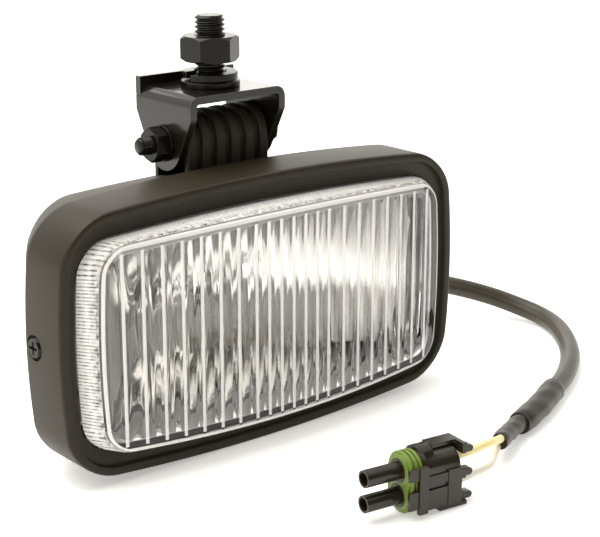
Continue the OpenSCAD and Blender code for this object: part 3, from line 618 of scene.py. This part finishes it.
def makeBoss(o, feet):
    bm = bmesh.new()
    addFin(bm, o["core"], -o["half"], o["half"], o["down"])
    pitch = (2 * o["half"] - o["fin"]) / (o["fins"] - 1)
    for i in range(o["fins"]):
        start = -o["half"] + i * pitch
        addFin(bm, o["r"], start, start + o["fin"], o["down"])
    bmesh.ops.transform(bm, matrix=Matrix.Translation(tilt) @ Matrix.Scale(mm, 4), verts=bm.verts)
    for side in (-1, 1):
        made = bmesh.ops.create_cube(bm, size=1)["verts"]
        size = Vector((feet["w"], feet["to"] - feet["from"], feet["up"])) * mm
        middle = Vector((side * feet["x"] * mm, faceY + (feet["from"] + feet["to"]) / 2 * mm, size.z / 2))
        bmesh.ops.transform(bm, matrix=Matrix.Translation(middle) @ Matrix.Diagonal((*size, 1)), verts=made)
    bmesh.ops.recalc_face_normals(bm, faces=bm.faces)
    finish("finnedBoss", bm, "lamp", finishes["housing"], (), bevelWidth=0.7 * mm,
           bevelSteps=3)


makeHousing(housingSet)
makeBoss(housingSet["boss"], housingSet["feet"])
print("housing made")

# Lens
lensSet = {
    "fine": 5.07, "wide": 6.9, "fineCount": 3, "count": 10,
    "front": -9.6, "curveR": 515,
    "ridgeHalf": 0.6, "ridgeUp": 0.3, "ridgeShort": 0.5, "fluteDeep": 0.34, "fluteEnd": 32.9, "endStrip": 0.8,
    "paintedHighlightFrom": 29.5, "curveFrom": 4,
    "rib": 0.4, "wallFrom": 5, "longCuts": 188, "shortCuts": 88, "cornerCuts": 18,
    "outer": [(154.2, 80.7, 12, 7.5), (154.2, 80.7, 12, 4.1), (147.6, 70.6, 10, 4.0), (147.4, 70.5, 10, 1.2),
              (146.8, 70.3, 9.9, 0.5), (146.4, 70.2, 9.8, 0.1), (140.0, 69.2, 9.2, -7.2),
              (139.4, 69.0, 9.0, -7.7), (138.6, 68.5, 8.7, -8.8), (137.8, 67.8, 8.3, -9.35),
              (136.6, 66.8, 7.8, -9.6)],
    "inner": [(131.6, 61.8, 5.4, -6.2), (132.8, 62.6, 5.8, -5.6), (134.4, 63.3, 6.2, -3.8),
              (139.6, 64, 6.8, 4), (140, 64.2, 7, 7.5)],
}


# Where the line between two flutes stands, counted from the middle one
def fluteLine(o, i):
    fine = min(abs(i), o["fineCount"]) * o["fine"]
    return math.copysign(fine + max(abs(i) - o["fineCount"], 0) * o["wide"], i)


# Cuts a flat cap at each place along X and Z
def cutCap(bm, cap, alongX, alongZ):
    part = [cap]
    for axis, places in (((1, 0, 0), alongX), ((0, 0, 1), alongZ)):
        for place in places:
            geom = part + list({e for f in part for e in f.edges} | {v for f in part for v in f.verts})
            out = bmesh.ops.bisect_plane(bm, geom=geom, dist=1e-5, plane_co=Vector(axis) * place,
                                         plane_no=axis)
            part = [g for g in out["geom"] if isinstance(g, bmesh.types.BMFace)]
    return part


def makeLens(o):
    lines = [fluteLine(o, i) for i in range(-o["count"], o["count"] + 1)]
    half, end = o["ridgeHalf"], o["fluteEnd"]
    ridgeEnd = end - o["ridgeShort"]
    # bright is the ridge glass, whose whitish base colour is a painted highlight; serrated is the wall glass
    # with painted glow and shade
    clear, serrated, bright = 0, 1, 2      # places of the lens's three materials
    bm = bmesh.new()
    ring = bm.verts.layers.int.new("ring")
    odd = bm.verts.layers.int.new("odd")
    groove = bm.verts.layers.float.new("groove")
    rise = bm.verts.layers.float.new("rise")
    faces = loftSections(bm, o["inner"] + o["outer"], keep=True, long=o["longCuts"], short=o["shortCuts"],
                         corner=o["cornerCuts"])
    for i, f in enumerate(faces):
        for k, loop in enumerate(f.loops):
            loop.vert[ring], loop.vert[odd] = i + 1, k % 2
            loop.vert[groove] = 1 - k % 2
    bmesh.ops.delete(bm, geom=faces[1:-1], context="FACES_ONLY")
    wallTop = len(o["inner"]) + o["wallFrom"] + 1
    for f in bm.faces:
        rings = {v[ring] for v in f.verts}
        f.material_index = clear
        if rings <= set(range(wallTop - 2, wallTop + 3)):
            f.material_index = serrated
        elif min(rings) > wallTop + 2:
            f.material_index = bright
        # the inner wall's top and bottom get the painted highlight too
        if max(rings) <= len(o["inner"]) and abs(f.calc_center_median().z) > o["paintedHighlightFrom"]:
            f.material_index = bright
    for v in bm.verts:
        v[rise] = min(max((v[ring] - wallTop + 1) / 3, 0), 1)
    bm.normal_update()
    for v in bm.verts:
        if v[odd] and v[ring] in (wallTop, wallTop + 1):
            v.co += Vector((v.normal.x, 0, v.normal.z)).normalized() * o["rib"]
    steps = sorted(x + s * half for x in lines for s in (-1, -0.6, 0, 0.6, 1))
    between = [a + (b - a) * s for a, b in zip(lines, lines[1:]) for s in (0.3, 0.5, 0.7)]
    ends = (-end, o["endStrip"] - end, end - o["endStrip"], end)
    front = cutCap(bm, faces[-1], sorted(steps + between), ends)
    back = cutCap(bm, faces[0], sorted(steps + between), ends)
    # the ridges, and the strips past the flutes' ends, get the painted highlight
    for f in front:
        f.material_index = clear
        x, y, z = f.calc_center_median()
        if min(abs(x - line) for line in lines) < half and abs(z) < ridgeEnd or abs(z) > end:
            f.material_index = bright
    for v in {v for f in front for v in f.verts}:
        off = min(abs(line - v.co.x) for line in lines)
        if off < half - 0.01 and abs(v.co.z) < ridgeEnd:
            v.co.y -= o["ridgeUp"] * (1 - (off / half) ** 2) ** 0.5
    for v in {v for f in back for v in f.verts}:
        if abs(v.co.z) < ridgeEnd and abs(v.co.x) < lines[-1] - 1e-3:
            left = max(line for line in lines if line <= v.co.x + 1e-5)
            right = min(line for line in lines if line > v.co.x + 1e-5)
            t = (v.co.x - left) / (right - left)
            v.co.y += o["fluteDeep"] * (1 - 4 * t * (1 - t))
    for v in bm.verts:
        ahead = o["curveFrom"] - v.co.y
        if ahead > 0:
            v.co.y += ahead / (o["curveFrom"] - o["front"]) * v.co.x ** 2 / (2 * o["curveR"])
    placeOnLamp(bm)
    tidyFaces(bm)
    finish("lensGlass", bm, "lamp", [finishes["glass"], finishes["wall"], finishes["ridge"]], ["lens"],
           angle=50)


makeLens(lensSet)
print("lens made")

# Reflector and bulb
reflectorSet = {
    "vertex": 62, "focal": 26, "w": 141, "h": 62.6, "rim": 10.6, "holeR": 5.6, "flangeW": 154, "flangeH": 81,
    "wall": 1.2, "rings": 26, "steps": 112, "past": 3, "clearOfHole": 20,
}


def makeReflector(o):
    bm = bmesh.new()
    far = math.hypot(o["w"], o["h"]) / 2 + o["past"]
    radii = [o["holeR"] + (far - o["holeR"]) * i / o["rings"] for i in range(o["rings"] + 1)]
    chain = [bm.verts.new((r, o["vertex"] - r * r / (4 * o["focal"]), 0)) for r in radii]
    edges = [bm.edges.new(pair) for pair in zip(chain, chain[1:])]
    bmesh.ops.spin(bm, geom=chain + edges, cent=(0, 0, 0), axis=(0, 1, 0), angle=2 * math.pi,
                   steps=o["steps"], use_merge=True)
    for co, no in (((o["w"] / 2, 0, 0), (1, 0, 0)), ((-o["w"] / 2, 0, 0), (-1, 0, 0)),
                   ((0, 0, o["h"] / 2), (0, 0, 1)), ((0, 0, -o["h"] / 2), (0, 0, -1)),
                   ((0, o["rim"], 0), (0, -1, 0))):
        bmesh.ops.bisect_plane(bm, geom=bm.verts[:] + bm.edges[:] + bm.faces[:], dist=1e-5,
                               plane_co=co, plane_no=no, clear_outer=True)
    edgeLoop = [e for e in bm.edges
                if e.is_boundary and max(math.hypot(v.co.x, v.co.z) for v in e.verts) > o["clearOfHole"]]
    walls = bmesh.ops.extrude_edge_only(bm, edges=edgeLoop)["geom"]
    for v in walls:
        if isinstance(v, bmesh.types.BMVert):
            v.co.y = o["rim"]
    edgeLoop = [e for e in walls if isinstance(e, bmesh.types.BMEdge) and e.is_boundary]
    flange = bmesh.ops.extrude_edge_only(bm, edges=edgeLoop)["geom"]
    for v in flange:
        if isinstance(v, bmesh.types.BMVert):
            v.co.x *= o["flangeW"] / o["w"]
            v.co.z *= o["flangeH"] / o["h"]
    placeOnLamp(bm)
    tidyFaces(bm)
    piece = finish("reflectorDish", bm, "lamp", finishes["mirror"], ["reflector"], angle=30)
    shell = piece.modifiers.new("wall", "SOLIDIFY")
    shell.thickness = o["wall"] * mm
    shell.offset = -1


makeReflector(reflectorSet)

bulbSet = {"r": 5, "wall": 0.8, "tip": 31, "base": 63.8, "steps": 48}


# A shape turned about the lamp's optical axis, from its (radius, depth) points
def turned(points, steps):
    bm = bmesh.new()
    chain = [bm.verts.new((r, y, 0)) for r, y in points]
    edges = [bm.edges.new(pair) for pair in zip(chain, chain[1:])]
    bmesh.ops.spin(bm, geom=chain + edges, cent=(0, 0, 0), axis=(0, 1, 0), angle=2 * math.pi,
                   steps=steps, use_merge=True)
    bmesh.ops.delete(bm, geom=[e for e in bm.edges if not e.link_faces], context="EDGES")
    return bm


def makeBulb(o):
    r, tip, base, wall = o["r"], o["tip"], o["base"], o["wall"]

    def arc(radius, angles):
        return [(radius * math.sin(math.radians(a)), tip + r - radius * math.cos(math.radians(a)))
                for a in angles]

    dome = arc(r, range(0, 91, 10))
    hollow = arc(r - wall, range(90, -1, -10))
    foot = [(r, base - 5), (r * 0.8, base), (0, base), (0, base - 4), (r - wall, base - 7)]
    bm = turned(dome + foot + hollow, o["steps"])
    moveToLamp(bm)
    tidyFaces(bm, 1e-5)
    finish("bulbCapsule", bm, "lamp", finishes["capsule"], ["bulb_glass"], angle=40)


makeBulb(bulbSet)
print("reflector and bulb made")

# Bracket and hardware. The pieces that keep their solid's shape get eased edges this wide, in millimetres.
easedEdge = {
    "bracket": 0.45, "flat_washer": 0.3, "mounting_nut": 0.2, "pivot_nut": 0.15, "pivot_washers": 0.15,
    "bezel_screws": 0.12, "plug_body": 0.3, "plug_lock": 0.25, "plug_seal": 0.42, "wire_seals": 0.2,
    "cable_grommet": 0.4,
}


def refined(cadName, name, body, material):
    finish(name, copyNode(cadName), body, material, [cadName], angle=30,
           bevelWidth=easedEdge[cadName] * mm, bevelSteps=3)


refined("bracket", "bracketStrip", "bracket", finishes["steel"])

threadSet = {
    "stud": {"r": 5, "pitch": 1.5, "depth": 0.9, "steps": 40, "chamfer": 0.9},
    "pivot": {"r": 3, "pitch": 1.0, "depth": 0.6, "steps": 32, "chamfer": 0.7, "pastNut": 1},
}


# A threaded rod along Z from one height to another, by turning one thread's outline up the rod
def threadedRod(o, start, end):
    bm = bmesh.new()
    r, pitch, deep = o["r"], o["pitch"], o["depth"]
    turns = math.ceil((end - start) / pitch) + 3
    outline = [(r - deep, 0), (r - deep, 0.08), (r - 0.06, 0.42), (r, 0.47), (r, 0.55), (r - 0.06, 0.6),
               (r - deep, 0.94), (r - deep, 1)]
    chain = [bm.verts.new((x, 0, start + (z - 1.5) * pitch)) for x, z in outline]
    edges = [bm.edges.new(pair) for pair in zip(chain, chain[1:])]
    bmesh.ops.spin(bm, geom=chain + edges, cent=(0, 0, 0), axis=(0, 0, 1), dvec=(0, 0, pitch / o["steps"]),
                   angle=2 * math.pi * turns, steps=o["steps"] * turns)
    bmesh.ops.remove_doubles(bm, verts=bm.verts, dist=1e-3)
    coneFrom = end - o["chamfer"]
    for height, way in ((start, -1), (end, 1), (end - o["chamfer"] / 2, 0), (coneFrom, 0)):
        out = bmesh.ops.bisect_plane(bm, geom=bm.verts[:] + bm.edges[:] + bm.faces[:], dist=1e-5,
                                     plane_co=(0, 0, height), plane_no=(0, 0, way or 1),
                                     clear_outer=bool(way))
        if way:
            rim = [e for e in out["geom_cut"] if isinstance(e, bmesh.types.BMEdge)]
            bmesh.ops.contextual_create(bm, geom=rim)
    for v in bm.verts:
        limit = r - max(0, v.co.z - coneFrom)
        around = math.hypot(v.co.x, v.co.y)
        if around > limit:
            v.co.x, v.co.y = v.co.x * limit / around, v.co.y * limit / around
    bmesh.ops.recalc_face_normals(bm, faces=bm.faces)
    return bm


def makeStud(o):
    start, end = (corner.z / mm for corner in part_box("mounting_stud"))
    bm = threadedRod(o, start, end)
    bmesh.ops.transform(bm, matrix=Matrix.Scale(mm, 4), verts=bm.verts)
    finish("mountingStud", bm, "bracket", finishes["bolt"], ["mounting_stud"], angle=40)


# The bolt keeps its head and shank, and gets a thread from inside its nut to its free end
def makePivotBolt(o):
    bm = copyNode("pivot_bolt")
    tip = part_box("pivot_bolt")[0].x
    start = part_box("pivot_nut")[0].x + o["pastNut"] * mm
    out = bmesh.ops.bisect_plane(bm, geom=bm.verts[:] + bm.edges[:] + bm.faces[:], dist=1e-7,
                                 plane_co=(start, 0, 0), plane_no=(1, 0, 0), clear_inner=True)
    bmesh.ops.contextual_create(bm, geom=[e for e in out["geom_cut"] if isinstance(e, bmesh.types.BMEdge)])
    rod = threadedRod(o, 0, (start - tip) / mm)
    bmesh.ops.transform(rod, verts=rod.verts, matrix=Matrix.Translation((start, tilt.y, tilt.z))
                        @ Matrix.Rotation(-math.pi / 2, 4, "Y") @ Matrix.Scale(mm, 4))
    thread = bpy.data.meshes.new("thread")
    rod.to_mesh(thread)
    rod.free()
    bm.from_mesh(thread)
    bpy.data.meshes.remove(thread)
    finish("pivotBolt", bm, "bracket", finishes["bolt"], ["pivot_bolt"], angle=40)


springSet = {"outer": 9.05, "inner": 5.3, "thick": 2.5, "lift": 0.9, "open": 12, "split": 180, "steps": 60,
             "taper": 0.15}


# A ring that rises from one side of its split to the other
def springWasher(o):
    bm = bmesh.new()
    inner, outer, thick, taper = o["inner"], o["outer"], o["thick"], o["taper"]
    outline = ((inner, 0), (outer, taper), (outer, thick - taper), (inner, thick))
    chain = [bm.verts.new((x, 0, z)) for x, z in outline]
    face = bm.faces.new(chain)
    bmesh.ops.spin(bm, geom=[face], cent=(0, 0, 0), axis=(0, 0, 1), dvec=(0, 0, o["lift"] / o["steps"]),
                   angle=math.radians(360 - o["open"]), steps=o["steps"])
    turn = Matrix.Rotation(math.radians(o["split"] + o["open"] / 2), 4, "Z")
    rest = Matrix.Translation((0, 0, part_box("spring_washer")[0].z))
    bmesh.ops.transform(bm, matrix=rest @ Matrix.Scale(mm, 4) @ turn, verts=bm.verts)
    tidyFaces(bm)
    finish("springWasher", bm, "bracket", finishes["bolt"], ["spring_washer"], angle=40,
           bevelWidth=0.25 * mm)


makeStud(threadSet["stud"])
makePivotBolt(threadSet["pivot"])
springWasher(springSet)
refined("flat_washer", "flatWasher", "bracket", finishes["bolt"])
refined("mounting_nut", "mountingNut", "mounting_nut", finishes["bolt"])
refined("pivot_nut", "pivotNut", "bracket", finishes["bolt"])
refined("pivot_washers", "pivotWashers", "bracket", finishes["bolt"])
refined("bezel_screws", "bezelScrews", "lamp", finishes["bolt"])
print("bracket and hardware made")

# Plug
refined("plug_body", "plugBody", "lamp", finishes["plug"])
refined("plug_lock", "plugLock", "plug_lock", finishes["plug"])
refined("plug_seal", "plugSeal", "lamp", finishes["seal"])

plugSet = {
    "middle": (-2.1, -104.3, 9.95), "turn": -8, "way": 3.95,
    "front": -9.4,      # front face of the seal, along the plug's axis
    "web": {"r": 4.1, "from": 0, "to": 0.5},
    "roots": {"r": 3.6, "from": -0.25, "to": 0.4},
}


# Thickens the discs across the plug's axis and puts them in the plug's place
def finishPlugDiscs(o, disc, name, bm, material):
    extrudeAcross(bm, list(bm.faces), disc["to"] - disc["from"])
    bmesh.ops.transform(bm, verts=bm.verts, matrix=Matrix.Translation(Vector(o["middle"]) * mm)
                        @ Matrix.Rotation(math.radians(o["turn"]), 4, "Z") @ Matrix.Scale(mm, 4))
    bmesh.ops.recalc_face_normals(bm, faces=bm.faces)
    finish(name, bm, "lamp", material, (), bevelWidth=0.1 * mm)


# A circle for each of the plug's two ways, facing along the plug's axis
def addWayCircles(bm, o, disc, filled):
    for side in (-1, 1):
        made = bmesh.ops.create_circle(bm, cap_ends=filled, segments=48, radius=disc["r"])["verts"]
        bmesh.ops.rotate(bm, verts=made, matrix=Matrix.Rotation(math.pi / 2, 3, "Y"))
        bmesh.ops.translate(bm, verts=made, vec=(o["front"] + disc["from"], 0, side * o["way"]))


# The seal's web: the outer halves of both circles, filled as one long disc
def makeSealWeb(o):
    bm = bmesh.new()
    addWayCircles(bm, o, o["web"], False)
    rim = sorted(bm.verts, key=lambda v: math.atan2(v.co.y, v.co.z))
    outline = [v for v in rim if abs(v.co.z) >= o["way"] - 1e-6]
    bmesh.ops.delete(bm, geom=[v for v in rim if v not in outline], context="VERTS")
    bmesh.ops.delete(bm, geom=list(bm.edges), context="EDGES_FACES")
    bm.faces.new(outline)
    finishPlugDiscs(o, o["web"], "sealWeb", bm, finishes["seal"])


# The round boss that each tower stands on
def makeTowerRoots(o):
    bm = bmesh.new()
    addWayCircles(bm, o, o["roots"], True)
    finishPlugDiscs(o, o["roots"], "towerRoots", bm, finishes["plug"])


makeSealWeb(plugSet)
makeTowerRoots(plugSet)
refined("wire_seals", "wireSeals", "lamp", finishes["seal"])
refined("cable_grommet", "cableGrommet", "lamp", finishes["rubber"])
print("plug made")

# Solids that show as they are, and the finish of each
plain = {
    "lens_gasket": "rubber", "bulb_filament": "bright", "bulb_base": "bright", "bulb_clip": "bright",
    "clip_screws": "bright", "bulb_lead": "yellow", "earth_lead": "cream", "lead_terminals": "bright",
    "pivot_sleeve": "bright", "plug_terminals": "bright",
}
for cadName, finishName in plain.items():
    for holder in nodes[cadName].material_slots:
        holder.material = finishes[finishName]

# Floor and light
roomSet = {
    "floor": 6.0, "glow": 0.4, "sky": 1.3, "bright": (0.25, 0.75, 0.6), "from": -0.25, "to": 0.35,
    "grey": (0.11, 0.105, 0.09), "white": (1.0, 0.985, 0.95), "paint": (0.9, 0.9, 0.9), "rough": 0.9,
}


def makeRoom(o):
    bm = bmesh.new()
    bmesh.ops.create_grid(bm, x_segments=1, y_segments=1, size=o["floor"])
    mesh = bpy.data.meshes.new("floor")
    bm.to_mesh(mesh)
    bm.free()
    floor = bpy.data.objects.new("floor", mesh)
    bpy.context.scene.collection.objects.link(floor)
    paint = bpy.data.materials.new("floor paint")
    paint.use_nodes = True
    shader = paint.node_tree.nodes["Principled BSDF"]
    shader.inputs["Base Color"].default_value = rgb(*o["paint"])
    shader.inputs["Roughness"].default_value = o["rough"]
    shader.inputs["Emission Color"].default_value = rgb(*o["white"])
    shader.inputs["Emission Strength"].default_value = o["glow"]
    mesh.materials.append(paint)
    world = bpy.data.worlds.new("studio")
    bpy.context.scene.world = world
    world.use_nodes = True
    tree = world.node_tree
    way = node(tree, "ShaderNodeTexCoord")
    facing = node(tree, "ShaderNodeVectorMath", operation="DOT_PRODUCT")
    tree.links.new(way.outputs["Generated"], facing.inputs[0])
    facing.inputs[1].default_value = o["bright"]
    ramp = node(tree, "ShaderNodeValToRGB")
    ramp.color_ramp.interpolation = "EASE"
    ramp.color_ramp.elements[0].position, ramp.color_ramp.elements[0].color = o["from"], rgb(*o["grey"])
    ramp.color_ramp.elements[1].position, ramp.color_ramp.elements[1].color = o["to"], rgb(*o["white"])
    tree.links.new(facing.outputs["Value"], ramp.inputs["Fac"])
    tree.links.new(ramp.outputs["Color"], tree.nodes["Background"].inputs["Color"])
    tree.nodes["Background"].inputs["Strength"].default_value = o["sky"]


lightSet = {
    "overhead": {"place": (-0.3, 0.3, 1.1), "aim": (0, 0, 0.05), "size": (1.2, 0.9), "power": 14},
    "fromLeft": {"place": (-1.1, -0.3, 0.5), "aim": (0, 0, 0.05), "size": (0.7, 0.9), "power": 2.5},
    "fromBehind": {"place": (1.16, 1.54, 0.43), "aim": (0, 0, 0.1), "size": (1.4, 0.5), "power": 2.6},
}
warmWhite = (1, 0.95, 0.86)


def areaLight(name, o):
    data = bpy.data.lights.new(name, "AREA")
    data.color = warmWhite
    data.shape = "RECTANGLE"
    data.size, data.size_y = o["size"]
    data.energy = o["power"]
    lamp = bpy.data.objects.new(name, data)
    bpy.context.scene.collection.objects.link(lamp)
    lamp.location = o["place"]
    lamp.rotation_euler = (Vector(o["aim"]) - Vector(o["place"])).to_track_quat("-Z", "Y").to_euler()


makeRoom(roomSet)
for lightName, light in lightSet.items():
    areaLight(lightName, light)
bpy.context.scene.view_settings.view_transform = "Standard"
print("room made")
